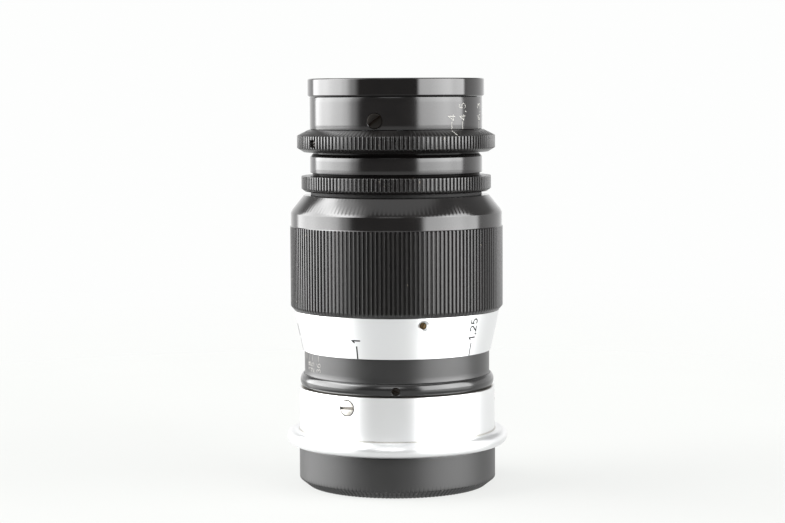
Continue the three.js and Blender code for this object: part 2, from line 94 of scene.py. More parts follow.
def corners_only(chain):
    """The chain without the points that lie on a straight stretch."""
    kept = []
    for i, point in enumerate(chain):
        before = Vector(point) - Vector(chain[i - 1])
        after = Vector(chain[(i + 1) % len(chain)]) - Vector(point)
        on_axis = point[0] < 0.01
        if before.length < 0.002:
            continue
        if on_axis or before.angle(after, 0) > 0.01:
            kept.append((0.0 if on_axis else point[0], point[1]))
    return kept


def anticlockwise(outline):
    following = outline[1:] + outline[:1]
    area = sum(r * next_z - next_r * z for (r, z), (next_r, next_z) in zip(outline, following))
    return outline if area > 0 else outline[::-1]


def top_of(outline):
    return max(z for r, z in outline)


def bottom_of(outline):
    return min(z for r, z in outline)


def widest(outline):
    return max(r for r, z in outline)


def narrowest(outline):
    return min(r for r, z in outline)


def outer_radius(outline, height):
    """The outline's largest radius at a height."""
    found = 0.0
    for (r, z), (next_r, next_z) in zip(outline, outline[1:] + outline[:1]):
        if min(z, next_z) <= height <= max(z, next_z) and z != next_z:
            found = max(found, r + (next_r - r) * (height - z) / (next_z - z))
    return found


class Seat:
    """Where a CAD fastener sits on the lens's side, read from its own corners, in mm and degrees."""

    def __init__(self, node):
        corners = np.array([v.co for v in frame["nodes"][node].data.vertices]) / MM
        x, y, self.z = (corners.max(0) + corners.min(0)) / 2
        self.azimuth = math.degrees(math.atan2(x, -y))
        turn = math.radians(self.azimuth)
        reach = corners @ np.array((math.sin(turn), -math.cos(turn), 0))
        self.face = reach.max()
        self.length = reach.max() - reach.min()
        self.diameter = np.ptp(corners[:, 2])

    def matrix(self, depth=0.0):
        """Carries a piece made along +Z to the seat, with its +Z pointing outwards."""
        return outward(self.azimuth, self.face - depth, self.z)


def outward(azimuth, radius, z):
    return (
        Matrix.Rotation(math.radians(azimuth), 4, "Z")
        @ Matrix.Translation((0, -radius * MM, z * MM))
        @ Matrix.Rotation(math.pi / 2, 4, "X")
    )


def pin_centre(node, highest):
    """(azimuth, radius) of the pin at the top or the bottom of an iris blade."""
    corners = np.array([v.co for v in frame["nodes"][node].data.vertices]) / MM
    z = corners[:, 2]
    end = corners[z > z.max() - 0.02] if highest else corners[z < z.min() + 0.02]
    x, y = end[:, 0].mean(), end[:, 1].mean()
    return math.degrees(math.atan2(x, -y)), math.hypot(x, y)


def joint_range(name):
    return next(j["range_deg"] for j in frame["joints"] if j["name"] == name)


# ---- outlines


GENTLE_BEND = math.radians(20)  # a bend up to this belongs to a curve and is not eased


def eased(outline, radius, bands=(), steps=2):
    """The outline with rounded corners. A band (low, high, radius) sets the radius between two heights."""
    points = []
    for i, (r, z) in enumerate(outline):
        corner = Vector((r, z))
        before = Vector(outline[i - 1]) - corner
        after = Vector(outline[(i + 1) % len(outline)]) - corner
        wanted = next((own for low, high, own in bands if low <= z <= high), radius)
        turn = before.angle(-after, 0)
        reach = min(wanted * math.tan(turn / 2), before.length * 0.48, after.length * 0.48)
        if r == 0.0 or reach < 0.002 or turn < GENTLE_BEND:
            points.append((r, z))
            continue
        start = corner + before.normalized() * reach
        end = corner + after.normalized() * reach
        for k in range(steps + 1):
            share = k / steps
            point = start.lerp(corner, share).lerp(corner.lerp(end, share), share)
            points.append(tuple(point))
    return points


ANY = (-math.inf, math.inf)


def divided(outline, longest, heights=ANY, walls=ANY, closed=True):
    """The outline with more points on its long stretches between two heights and two radii."""
    ends = outline[1:] + outline[:1] if closed else outline[1:]
    points = []
    for (r, z), (next_r, next_z) in zip(outline, ends):
        on_axis = closed and r == next_r == 0.0
        at_height = min(z, next_z) < heights[1] and max(z, next_z) > heights[0]
        at_radius = walls[0] <= min(r, next_r) and max(r, next_r) <= walls[1]
        parts = 1
        if at_height and at_radius and not on_axis:
            parts = max(1, math.ceil(math.dist((r, z), (next_r, next_z)) / longest))
        for k in range(parts):
            share = k / parts
            points.append((r + (next_r - r) * share, z + (next_z - z) * share))
    if not closed:
        points.append(outline[-1])
    return points


def wall(radius):
    """The radii about one wall of an outline."""
    return radius - 0.02, radius + 0.02


def half_round(outline, low, high, steps=20):
    """The outline with the corners of a bead between two heights replaced by a true half ellipse."""
    wall_r = outer_radius(outline, high)
    bead = [(r, z) for r, z in outline if low - 0.01 <= z <= high + 0.01 and r > wall_r - 0.01]
    reach = max(r for r, z in bead)
    foot = min(r for r, z in bead if z > (low + high) / 2)
    middle, half = (low + high) / 2, (high - low) / 2
    curve = []
    for k in range(steps + 1):
        angle = math.pi * (k / steps - 0.5)
        curve.append((foot + (reach - foot) * math.cos(angle), middle + half * math.sin(angle)))
    first = outline.index(min(bead, key=lambda p: p[1]))
    rest = [p for p in outline[first:] + outline[:first] if p not in bead]
    return curve + rest


# ---- turning

GRIP_TEETH, COLLAR_TEETH, RING_TEETH = 152, 138, 144
CAP_TOOTH_PITCH = 0.9
TOOTH_CREST = 0.36  # share of a tooth's pitch that the knurling tool leaves uncut
GROOVE_SAMPLES = (0.09, 0.21, 0.38, 0.62, 0.79, 0.91)  # where a groove gets its columns


def tooth_angles(count):
    """Azimuths for a knurled ring, with the same few columns on every tooth."""
    groove = [TOOTH_CREST + (1 - TOOTH_CREST) * share for share in GROOVE_SAMPLES]
    teeth = np.arange(count)[:, None]
    return ((teeth + np.array([0.0, TOOTH_CREST] + groove)) * EVERY_TURN / count).ravel()


def knurl(count, depth, radius, slope=0.0, low=-math.inf, high=math.inf):
    """Straight grooves cut down from a cylinder, or from a cone when there is a slope."""

    def cut(r, angle, z):
        share = (angle * count / EVERY_TURN + 1e-6) % 1.0
        groove = np.clip((share - TOOTH_CREST) / (1 - TOOTH_CREST), 0, 1)
        left = radius + slope * z - depth * np.sin(math.pi * groove) ** 1.4
        return np.where((z >= low) & (z <= high), np.minimum(r, left), r)

    return cut


def thread(radius, depth, lead, starts, low, high, inside=False):
    """A helical thread with flat crests, cut into the wall of this radius between two heights."""

    def cut(r, angle, z):
        phase = EVERY_TURN * z * starts / lead - angle * starts
        wave = np.clip(0.5 + 0.8 * np.cos(phase), 0, 1)
        ends = np.clip(np.minimum(z - low, high - z) / 0.3, 0, 1)
        moved = depth * wave * ends * (1 if inside else -1)
        return np.where(np.abs(r - radius) < 0.02, r + moved, r)

    return cut


def mesh_object(name, vertices, faces):
    mesh = bpy.data.meshes.new(name)
    mesh.from_pydata((np.asarray(vertices) * MM).tolist(), [], faces)
    obj = bpy.data.objects.new(name, mesh)
    bpy.context.scene.collection.objects.link(obj)
    return obj


def turned(name, outline, sides, reliefs=()):
    """A solid turned from an outline in mm. Sides is their number, or their azimuths."""
    angles = np.arange(sides) * EVERY_TURN / sides if isinstance(sides, int) else sides
    radius, height = np.array(outline).T
    angle = angles[:, None]
    r = np.repeat(radius[None], len(angles), 0)
    z = np.repeat(height[None], len(angles), 0)
    for relief in reliefs:
        r = relief(r, angle, z)
    points = np.stack((r * np.sin(angle), -r * np.cos(angle), z), -1).reshape(-1, 3)
    columns, rows = len(angles), len(outline)
    index = np.arange(columns * rows).reshape(columns, rows)
    right = np.roll(index, -1, 0)
    faces = np.stack((index, right, np.roll(right, -1, 1), np.roll(index, -1, 1)), -1)
    on_axis = (radius == 0) & (np.roll(radius, -1) == 0)
    faces = faces[:, ~on_axis].reshape(-1, 4)
    obj = mesh_object(name, points, faces.tolist())
    clean(obj)
    return obj


def clean(obj):
    bm = bmesh.new()
    bm.from_mesh(obj.data)
    bmesh.ops.remove_doubles(bm, verts=bm.verts, dist=0.0005 * MM)
    bmesh.ops.dissolve_degenerate(bm, edges=bm.edges, dist=0.0002 * MM)
    bmesh.ops.recalc_face_normals(bm, faces=bm.faces)
    bm.to_mesh(obj.data)
    bm.free()


def block(name, width, length, height):
    """A cutter's block about the origin, in mm."""
    bm = bmesh.new()
    bmesh.ops.create_cube(bm, size=1.0)
    bmesh.ops.scale(bm, vec=(width * MM, length * MM, height * MM), verts=bm.verts)
    mesh = bpy.data.meshes.new(name)
    bm.to_mesh(mesh)
    bm.free()
    obj = bpy.data.objects.new(name, mesh)
    bpy.context.scene.collection.objects.link(obj)
    return obj


def sector(name, inner, outer, start, end, low, high):
    """A cutter bounded by two radii, two azimuths and two heights."""
    steps = max(2, math.ceil(abs(end - start) / 2))
    angles = np.radians(np.linspace(start, end, steps + 1))
    ring = [(inner, low), (outer, low), (outer, high), (inner, high)]
    vertices = [(r * math.sin(a), -r * math.cos(a), z) for a in angles for r, z in ring]
    faces = [(0, 1, 2, 3), tuple(4 * steps + k for k in (3, 2, 1, 0))]
    for i in range(steps):
        for k in range(4):
            a, b = 4 * i + k, 4 * i + (k + 1) % 4
            faces.append((a, a + 4, b + 4, b))
    obj = mesh_object(name, vertices, faces)
    clean(obj)
    return obj


def placed(obj, matrix):
    obj.data.transform(matrix)
    return obj


def carve(obj, cutters):
    """Cuts the cutters out of the piece and throws them away."""
    for cutter in cutters:
        boolean = obj.modifiers.new("carve", "BOOLEAN")
        boolean.operation = "DIFFERENCE"
        boolean.solver = "MANIFOLD"
        boolean.object = cutter
    bpy.context.view_layer.update()
    evaluated = obj.evaluated_get(bpy.context.evaluated_depsgraph_get())
    carved = bpy.data.meshes.new_from_object(evaluated)
    obj.modifiers.clear()
    obj.data = carved
    for cutter in cutters:
        bpy.data.objects.remove(cutter)
    return obj


def hole(seat, gap, depth, sink=0.08, above=0.0):
    """A cutter for a round hole with an eased mouth, where the wall stands above the fastener's face."""
    r = seat.diameter / 2 + gap
    outside = above + 0.6
    mouth = r + sink
    outline = [(0, -depth), (r, -depth), (r, above - sink), (mouth, above), (mouth, outside), (0, outside)]
    return placed(turned("hole", outline, SCREW_SIDES), seat.matrix())


SMOOTH_UNDER = math.radians(34)


def shaded(obj):
    """Smooth walls, crisp edges, and normals led by the large faces."""
    obj.data.shade_smooth()
    obj.data.set_sharp_from_angle(angle=SMOOTH_UNDER)
    weighted = obj.modifiers.new("weighted", "WEIGHTED_NORMAL")
    weighted.keep_sharp = True
    return obj


def fitted(obj, body, slot, material, *nodes):
    """Shades a finished piece and puts it on its body in place of its CAD nodes."""
    shaded(obj)
    obj.data.materials.clear()
    obj.data.materials.append(material)
    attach(obj, body)
    if nodes:
        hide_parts(*nodes)
    return obj


def made(node, outline, sides, body, slot, material, reliefs=(), cutters=()):
    """A CAD ring turned again from an outline, then cut, shaded and put in the ring's place."""
    piece = turned(f"{node}_turned", outline, sides, reliefs)
    if cutters:
        carve(piece, cutters)
    return fitted(piece, body, slot, material, node)


# ---- shader helpers


class Shader:
    """Short calls for building a node tree. A value may be a number, a colour or a node's output."""

    def __init__(self, owner):
        owner.use_nodes = True
        self.owner = owner
        self.tree = owner.node_tree
        self.tree.nodes.clear()

    def node(self, kind, inputs=None, **settings):
        made = self.tree.nodes.new(kind)
        for key, value in settings.items():
            setattr(made, key, value)
        for key, value in (inputs or {}).items():
            self.put(made.inputs[key], value)
        return made

    def put(self, socket, value):
        if isinstance(value, bpy.types.NodeSocket):
            self.tree.links.new(value, socket)
        elif isinstance(value, tuple) and len(value) == 3 and socket.type == "RGBA":
            socket.default_value = (*value, 1.0)
        else:
            socket.default_value = value

    def math(self, operation, a, b=0.0, c=0.0):
        made = self.node("ShaderNodeMath", {0: a, 1: b, 2: c}, operation=operation)
        return made.outputs[0]

    def times(self, a, b):
        return self.math("MULTIPLY", a, b)

    def plus(self, a, b):
        return self.math("ADD", a, b)

    def vector(self, x, y, z):
        return self.node("ShaderNodeCombineXYZ", {0: x, 1: y, 2: z}).outputs[0]

    def ramp(self, value, low, high, start=0.0, end=1.0):
        """Value carried smoothly from start, at or under low, to end, at or over high."""
        made = self.node(
            "ShaderNodeMapRange", {0: value, 1: low, 2: high, 3: start, 4: end},
            interpolation_type="SMOOTHSTEP",
        )
        return made.outputs[0]

    def profile(self, value, points):
        """Value carried smoothly through a list of (at, level)."""
        total = points[0][1]
        for (low, start), (high, end) in zip(points, points[1:]):
            total = self.plus(total, self.ramp(value, low, high, 0.0, end - start))
        return total

    def mix(self, share, a, b):
        return self.node("ShaderNodeMix", {0: share, 6: a, 7: b}, data_type="RGBA").outputs[2]

    def blend(self, share, a, b):
        return self.node("ShaderNodeMix", {0: share, 2: a, 3: b}, data_type="FLOAT").outputs[0]

    def noise(self, vector, scale, detail=2.0, roughness=0.5):
        inputs = {"Vector": vector, "Scale": scale, "Detail": detail, "Roughness": roughness}
        return self.node("ShaderNodeTexNoise", inputs).outputs[0]

    def bump(self, height, depth_mm, strength=1.0, normal=None):
        inputs = {"Height": height, "Distance": depth_mm * MM, "Strength": strength}
        if normal is not None:
            inputs["Normal"] = normal
        return self.node("ShaderNodeBump", inputs).outputs[0]

    def crevices(self, reach_mm):
        """One in slots and gaps narrower than the reach, nought in the open: the mask for painted shade."""
        open_share = self.node(
            "ShaderNodeAmbientOcclusion", {"Distance": reach_mm * MM}, samples=8,
        ).outputs["AO"]
        return self.ramp(open_share, 0.55, 0.92, 1.0, 0.0)

    def locate(self):
        """Sets place, its (x, y, z) and its radius, in mm in the lens's own frame."""
        raw = self.node("ShaderNodeTexCoord").outputs["Object"]
        self.place = self.node("ShaderNodeVectorMath", {0: raw, 3: 1000.0}, operation="SCALE").outputs[0]
        self.xyz = self.node("ShaderNodeSeparateXYZ", {0: self.place}).outputs
        x, y = self.xyz[0], self.xyz[1]
        squared = self.plus(self.times(x, x), self.times(y, y))
        self.radius = self.math("SQRT", squared)

    def turning(self, pitch):
        """Fine lines round the axis, as a lathe tool leaves them on walls and on flat faces."""
        along = self.times(self.plus(self.radius, self.xyz[2]), 1.0 / pitch)
        x = self.times(self.xyz[0], 0.03)
        y = self.times(self.xyz[1], 0.03)
        return self.noise(self.vector(x, y, along), 1.0, 3.0, 0.6)

    def surface(self, **inputs):
        """Ends the material in a principled surface, with its inputs named in lower case, and gives it."""
        titles = {key: key.replace("_", " ").title().replace("Ior", "IOR") for key in inputs}
        named = {titles[key]: value for key, value in inputs.items()}
        shader = self.node("ShaderNodeBsdfPrincipled", named)
        self.node("ShaderNodeOutputMaterial", {"Surface": shader.outputs[0]})
        return self.owner


def new_shader(name):
    s = Shader(bpy.data.materials.new(name))
    s.locate()
    return s


# ---- materials

BRASS = (0.60, 0.42, 0.17)
CHROME = (0.745, 0.75, 0.745)


def worn_edges(s, amount):
    """Where edges have rubbed through: the mesh's own convex edges, broken up by noise."""
    pointed = s.node("ShaderNodeNewGeometry").outputs["Pointiness"]
    edge = s.ramp(pointed, 0.525, 0.60)
    patches = s.ramp(s.noise(s.place, 0.8, 3.0, 0.6), 0.70 - 0.1 * amount, 0.76 - 0.1 * amount)
    return s.times(edge, patches)


def lacquer(name, roughness, wear=0.25, peel=0.25, dull_within=0.0, painted_shade_reach=None, handled=None):
    """Stoved black lacquer on brass, with fine scratches and a few nicks along the edges.

    Within a radius, where a groove lies, it has no shine. When given a reach, painted shade takes the shine out of
    the knurl's cuts.
    Handled is (height, roughness): hands have dulled it up to there.
    """
    s = new_shader(name)
    lines = s.turning(0.22)
    cloud = s.noise(s.place, 0.22, 3.0)
    fine = s.noise(s.place, 2.4, 2.0)
    round_and_up = [s.times(s.xyz[k], stretch) for k, stretch in enumerate((0.9, 0.9, 9.0))]
    scratches = s.ramp(s.noise(s.vector(*round_and_up), 1.0, 5.0, 0.75), 0.66, 0.74)
    worn = worn_edges(s, wear)
    black = s.mix(cloud, (0.0022, 0.0020, 0.0021), (0.0042, 0.0036, 0.0033))
    dusty = s.mix(s.times(scratches, 0.07), black, (0.20, 0.19, 0.18))
    colour = s.mix(worn, dusty, (0.26, 0.22, 0.16))
    rough = s.plus(roughness, s.times(s.math("SUBTRACT", cloud, 0.5), roughness * 0.5))
    if handled is not None:
        rough = s.blend(s.ramp(s.xyz[2], handled[0] - 0.2, handled[0]), handled[1], rough)
    rough = s.plus(rough, s.times(scratches, 0.10))
    rough = s.blend(worn, rough, 0.45)
    normal = s.bump(fine, 0.004 * peel)
    normal = s.bump(lines, 0.0016 * peel, normal=normal)
    shine = s.ramp(s.radius, dull_within - 0.1, dull_within, 0.05, 0.5)
    # Painted shade: no shine where ambient occlusion finds the knurl's cuts.
    if painted_shade_reach is not None:
        shine = s.blend(s.crevices(painted_shade_reach), shine, 0.04)
    return s.surface(base_color=colour, roughness=rough, normal=normal, specular_ior_level=shine)


def satin_black(name, roughness, shade, wear=0.1, glossy_beyond=None):
    """Anodised or baked satin black over fine turning lines. Past a radius it is glossier."""
    s = new_shader(name)
    lines = s.turning(0.12)
    cloud = s.noise(s.place, 0.3, 4.0, 0.6)
    specks = s.ramp(s.noise(s.place, 5.0, 2.0, 0.6), 0.72, 0.80)
    black = s.mix(cloud, (shade * 0.8,) * 3, (shade * 1.15, shade * 1.12, shade * 1.1))
    colour = s.mix(s.times(specks, 0.2), black, (0.16, 0.16, 0.15))
    worn = worn_edges(s, wear)
    colour = s.mix(s.times(worn, 0.6), colour, (0.35, 0.33, 0.30))
    rough = s.plus(roughness - 0.05, s.times(cloud, 0.1))
    if glossy_beyond is not None:
        glossy = s.ramp(s.radius, glossy_beyond - 0.1, glossy_beyond + 0.1)
        rough = s.blend(glossy, rough, 0.17)
    normal = s.bump(lines, 0.001)
    return s.surface(base_color=colour, roughness=rough, normal=normal, specular_ior_level=0.5)


def chrome(name, roughness):
    """Satin chrome plate over lathe lines, which spread reflections along the optical axis."""
    s = new_shader(name)
    lines = s.turning(0.08)
    broad = s.noise(s.place, 0.12, 3.0)
    grime = s.ramp(s.noise(s.place, 1.6, 5.0, 0.7), 0.70, 0.84)
    tint = s.mix(broad, CHROME, (0.73, 0.74, 0.75))
    colour = s.mix(s.times(grime, 0.15), tint, (0.50, 0.48, 0.43))
    # Painted shade: warm grey where ambient occlusion finds holes, gaps round screw heads and the crease under the
    # bead.
    colour = s.mix(s.times(s.crevices(0.5), 0.8), colour, (0.30, 0.27, 0.22))
    rough = s.plus(roughness - 0.02, s.times(lines, 0.04))
    normal = s.bump(lines, 0.0004)
    round_the_axis = s.node("ShaderNodeTangent", direction_type="RADIAL", axis="Z").outputs[0]
    return s.surface(
        base_color=colour, metallic=1.0, roughness=rough, normal=normal,
        anisotropic=0.65, anisotropic_rotation=0.25, tangent=round_the_axis,
    )


def bare_metal(name, colour, dark, roughness, pitch=0.15, painted_shade_reach=None):
    """Turned brass or steel with a little tarnish, and painted brown shade in its slots and gaps when given a
    reach.
    """
    s = new_shader(name)
    lines = s.turning(pitch)
    tarnish = s.ramp(s.noise(s.place, 0.5, 5.0, 0.65), 0.42, 0.70)
    shade = s.mix(tarnish, colour, dark)
    # Painted shade: dark brown where ambient occlusion finds slots and gaps.
    if painted_shade_reach is not None:
        shade = s.mix(s.crevices(painted_shade_reach), shade, (0.022, 0.015, 0.010))
    rough = s.plus(roughness, s.times(tarnish, 0.15))
    normal = s.bump(lines, 0.002)
    return s.surface(base_color=shade, metallic=1.0, roughness=rough, normal=normal)


def matt_black(name):
    """Blackened metal that swallows stray light, with a fine grain."""
    s = new_shader(name)
    grain = s.noise(s.place, 9.0, 3.0, 0.7)
    lines = s.turning(0.25)
    colour = s.mix(grain, (0.006, 0.006, 0.0065), (0.016, 0.0155, 0.015))
    normal = s.bump(lines, 0.006, normal=s.bump(grain, 0.004))
    return s.surface(base_color=colour, roughness=0.62, normal=normal, specular_ior_level=0.25)


def blued_steel(name):
    """Thin iris leaves: blued spring steel with a rolled grain."""
    s = new_shader(name)
    grain = s.noise(s.vector(s.xyz[0], s.times(s.xyz[1], 0.1), s.xyz[2]), 7.0, 3.0)
    heat = s.noise(s.place, 0.25, 3.0)
    colour = s.mix(heat, (0.045, 0.050, 0.075), (0.085, 0.078, 0.080))
    rough = s.plus(0.34, s.times(grain, 0.18))
    return s.surface(base_color=colour, metallic=0.9, roughness=rough, normal=s.bump(grain, 0.0012))


def optical_glass(name, film_nm):
    """Polished glass with a thin anti-reflection film and a trace of dust."""
    s = new_shader(name)
    dust = s.ramp(s.noise(s.place, 3.2, 4.0, 0.7), 0.74, 0.80)
    rough = s.times(dust, 0.25)
    return s.surface(
        base_color=(0.97, 0.985, 0.98), transmission_weight=1.0, ior=1.60, roughness=rough,
        thin_film_thickness=film_nm, thin_film_ior=1.38,
    )


def paint(name, colour, worn_colour, wear):
    """Paint rubbed into an engraved mark, thin in places."""
    s = new_shader(name)
    thin = s.ramp(s.noise(s.place, 3.0, 4.0, 0.7), 0.58 - 0.2 * wear, 0.80 - 0.2 * wear)
    shade = s.mix(thin, colour, worn_colour)
    return s.surface(base_color=shade, roughness=0.75, normal=s.bump(thin, 0.01), specular_ior_level=0.12)


gloss_lacquer = lacquer("gloss_lacquer", 0.075, wear=0.3, peel=0.2)
barrel_lacquer = lacquer("barrel_lacquer", 0.15, wear=0.2, peel=0.5)
neck_lacquer = lacquer("neck_lacquer", 0.15, wear=0.2, peel=0.5, dull_within=17.5)
ring_lacquer = lacquer("ring_lacquer", 0.28, wear=0.3, peel=0.6, painted_shade_reach=0.5)
tube_black = satin_black("tube_black", 0.34, 0.006, glossy_beyond=19.35)
cap_black = satin_black("cap_black", 0.42, 0.006, wear=1.0)
satin_chrome = chrome("satin_chrome", 0.35)
brass = bare_metal("brass", BRASS, (0.36, 0.24, 0.10), 0.26)
# The last number of each screw material is the reach of painted shade in its slot and round its head.
brass_screw = bare_metal("brass_screw", (0.085, 0.058, 0.028), (0.030, 0.020, 0.010), 0.42, 0.06, 0.8)
screw_steel = bare_metal("screw_steel", (0.56, 0.55, 0.52), (0.34, 0.32, 0.28), 0.30, 0.06, 0.5)
black_steel = bare_metal("black_steel", (0.024, 0.022, 0.020), (0.012, 0.011, 0.010), 0.30, 0.06, 0.4)
inner_black = matt_black("inner_black")
blade_steel = blued_steel("blade_steel")
coated_glass = optical_glass("coated_glass", 125.0)
plain_glass = optical_glass("plain_glass", 0.0)
white_paint = paint("white_paint", (0.30, 0.295, 0.275), (0.13, 0.125, 0.12), 0.3)
faded_paint = paint("faded_paint", (0.25, 0.245, 0.23), (0.10, 0.098, 0.09), 0.3)
black_paint = paint("black_paint", (0.010, 0.010, 0.011), (0.07, 0.07, 0.068), 0.2)

# ---- fasteners


def cross_slot(angle, length, width, depth):
    """A cutter for a screwdriver slot, turned by an angle in degrees."""
    return placed(block("slot", length, width, depth), Matrix.Rotation(math.radians(angle), 4, "Z"))


def cap_screw(node, slot_angle, body, material):
    """A flat slotted screw: rounded head edge, slot and shank."""
    seat = Seat(node)
    head = seat.diameter / 2
    shank = head * 0.53
    thick = head * 0.38
    outline = eased(
        [(0, -seat.length), (shank, -seat.length), (shank, -thick), (head, -thick), (head, 0), (0, 0)],
        head * 0.09,
    )
    screw = turned(node.replace("_screw", "_slotted_screw"), outline, 64)
    carve(screw, [cross_slot(slot_angle, head * 4, head * 0.36, head * 0.7)])
    placed(screw, seat.matrix())
    return fitted(screw, body, "screw_steel", material, node)


def grub_screw(node, slot_angle, body, slot_name, material, sunk=0.0):
    """A headless set screw with a slotted, slightly domed end."""
    seat = Seat(node)
    r = seat.diameter / 2
    outline = eased([(0, -seat.length), (r, -seat.length), (r, 0), (0, r * 0.06)], r * 0.16)
    screw = turned(node.replace("_screw", "_grub_screw"), outline, SCREW_SIDES)
    carve(screw, [cross_slot(slot_angle, r * 4, r * 0.34, r * 0.9)])
    placed(screw, seat.matrix(sunk))
    return fitted(screw, body, slot_name, material, node)


def seats(node):
    return [Seat(f"{node}_{i}") for i in (1, 2, 3)]


# ---- rear cap and mount


def rear_cap():
    outline = section("rear_cap")
    edge_r = widest(outline)
    foot_r = max(r for r, z in outline if z < 0.01)
    chamfer_z = min(z for r, z in outline if r > edge_r - 0.01)
    wall_r = max(r for r, z in outline if 0.1 < z < 1.2 and r < edge_r - 0.2)
    top = top_of(outline)
    slope = (edge_r - foot_r) / chamfer_z
    outline = eased(outline, 0.15, bands=[(chamfer_z - 0.1, chamfer_z + 0.1, 0.4)])
    outline = divided(outline, 0.5, (0.0, chamfer_z + 0.6), (foot_r - 0.5, edge_r + 0.02))
    outline = divided(outline, 0.22, (3.6, top), wall(wall_r))
    count = round(EVERY_TURN * edge_r / CAP_TOOTH_PITCH)
    teeth = knurl(count, 0.36, foot_r, slope, high=chamfer_z + 0.7)
    inside = thread(wall_r, 0.18, MOUNT_PITCH, 1, 4.0, top - 0.4, inside=True)
    made("rear_cap", outline, tooth_angles(count), "rear_cap", "cap_black", cap_black, [teeth, inside])


def mount():
    outline = section("mount_ring")
    flange_r = widest(outline)
    middle = [z for r, z in outline if r > flange_r - 0.01]
    seat_z = min(z for r, z in outline if r > 20)
    high = 2 * np.mean(middle) - seat_z
    spigot_r = outer_radius(outline, seat_z - 1)
    outline = half_round(outline, seat_z, high)
    outline = eased(outline, 0.08)
    outline = divided(outline, 0.2, (5.0, seat_z), wall(spigot_r))
    outline = divided(outline, 2.0, (high, math.inf))
    spigot = thread(spigot_r, 0.35, MOUNT_PITCH, 1, 5.0, seat_z - 0.5)
    pin = Seat("sleeve_guide_pin")
    holes = [hole(seat, 0.15, 2.5) for seat in seats("mount_screw")] + [hole(pin, 0.08, 3.0)]
    made("mount_ring", outline, WALL_SIDES, "mount", "chrome_plate", satin_chrome, [spigot], holes)
    for i in (1, 2, 3):
        cap_screw(f"mount_screw_{i}", 3 * i - 1, "mount", screw_steel)
    plug = turned(
        "sleeve_guide_pin_turned",
        eased([(0, -pin.length), (pin.diameter / 2, -pin.length), (pin.diameter / 2, 0), (0, 0)], 0.12),
        SCREW_SIDES,
    )
    fitted(placed(plug, pin.matrix()), "mount", "screw_steel", screw_steel, "sleeve_guide_pin")


def depth_scale():
    outline = section("depth_scale_ring")
    tube_r = outer_radius(outline, 26)
    bead = [z for r, z in outline if r > tube_r + 0.3]
    bead_top = min(z for r, z in outline if abs(r - tube_r) < 0.02 and z > max(bead))
    smooth = eased(half_round(outline, min(bead), bead_top), 0.1)
    smooth = divided(smooth, 1.2, (bead_top, math.inf), wall(tube_r))
    holes = [hole(seat, 0.06, 2.4, 0.12) for seat in seats("depth_ring_set_screw")]
    holes += [hole(seat, -0.55, 4.0) for seat in seats("mount_screw")]
    made("depth_scale_ring", smooth, WALL_SIDES, "mount", "satin_black", tube_black, cutters=holes)
    for i in (1, 2, 3):
        grub_screw(f"depth_ring_set_screw_{i}", 37 * i - 60, "mount", "screw_steel", black_steel, 0.10)
    return outline


def fixed_helicoid():
    outline = section("fixed_helicoid")
    top = top_of(outline)
    wall_r = outer_radius(outline, top - 1)
    foot = bottom_of(outline)
    smooth = divided(eased(outline, 0.1), 0.4, (foot + 2, top), wall(wall_r))
    cut = thread(wall_r, 0.55, frame_lead(), 5, foot + 2, top - 0.6)
    made("fixed_helicoid", smooth, TUBE_SIDES, "mount", "brass", brass, [cut])
    lug = frame["nodes"]["infinity_stop_lug"]
    bevel = lug.modifiers.new("eased", "BEVEL")
    bevel.width, bevel.segments, bevel.limit_method = 0.06 * MM, 2, "ANGLE"
    dress("infinity_stop_lug", brass)


def frame_lead():
    """Lead of the focusing thread in mm, from how far the slide follows the turn."""
    couplings = frame["record"]["behaviour"]["couplings"]
    per_radian = next(c["ratio"] for c in couplings if c["joint"] == "focus_travel")
    return per_radian * EVERY_TURN / MM


def dress(node, material):
    """Gives a CAD node that stays its own material."""
    slots = frame["nodes"][node].data.materials
    slots.clear()
    slots.append(material)


def coupling_sleeve():
    outline = section("coupling_sleeve")
    high = top_of(outline)
    bore_r = narrowest(outline)
    outer_r = widest(outline)
    smooth = divided(eased(outline, 0.15), 0.5, (high - 9, high), wall(bore_r))
    smooth = divided(smooth, 0.22, (high - 8.6, high), wall(bore_r))
    cut = thread(bore_r, 0.25, frame_lead() * SLEEVE_LEAD_SHARE, 3, high - 8.5, high - 0.6, inside=True)
    pin = Seat("sleeve_guide_pin")
    travel = next(j["range_m"][1] for j in frame["joints"] if j["name"] == "coupling_sleeve_travel") / MM
    keyway = block("keyway", pin.diameter + 0.3, travel + pin.diameter + 0.5, 3)
    placed(keyway, outward(pin.azimuth, outer_r - 0.5, pin.z - travel / 2))
    made("coupling_sleeve", smooth, TUBE_SIDES, "coupling_sleeve", "brass", brass, [cut], [keyway])


# ---- focusing barrel


def focus_barrel():
    outline = section("focus_barrel")
    grip_r = widest(outline)
    grip_top = max(z for r, z in outline if r > grip_r - 0.01)
    shoulder = top_of(outline)
    grip_foot = (grip_top - 18, grip_top - 15, 0.35)
    cone_foot = (grip_top + 2, shoulder - 2.5, 0.14)
    cone_top = (shoulder - 0.5, shoulder, 0.25)
    smooth = eased(outline, 0.12, bands=[grip_foot, cone_foot, cone_top], steps=5)
    low = min(z for r, z in outline if r > grip_r - 0.9) - 0.4
    smooth = divided(smooth, 0.35, (low, low + 1.3), (grip_r - 0.9, grip_r))
    teeth = knurl(GRIP_TEETH, 0.34, grip_r, low=low, high=grip_top + 0.02)
    holes = [hole(seat, 0.1, 1.6) for seat in seats("scale_ring_set_screw")]
    angles = tooth_angles(GRIP_TEETH)
    coat = lacquer("grip_lacquer", 0.14, wear=0.0, peel=0.3, painted_shade_reach=0.3, handled=(grip_top, 0.26))
    made("focus_barrel", smooth, angles, "focus_barrel", "black_lacquer", coat, [teeth], holes)


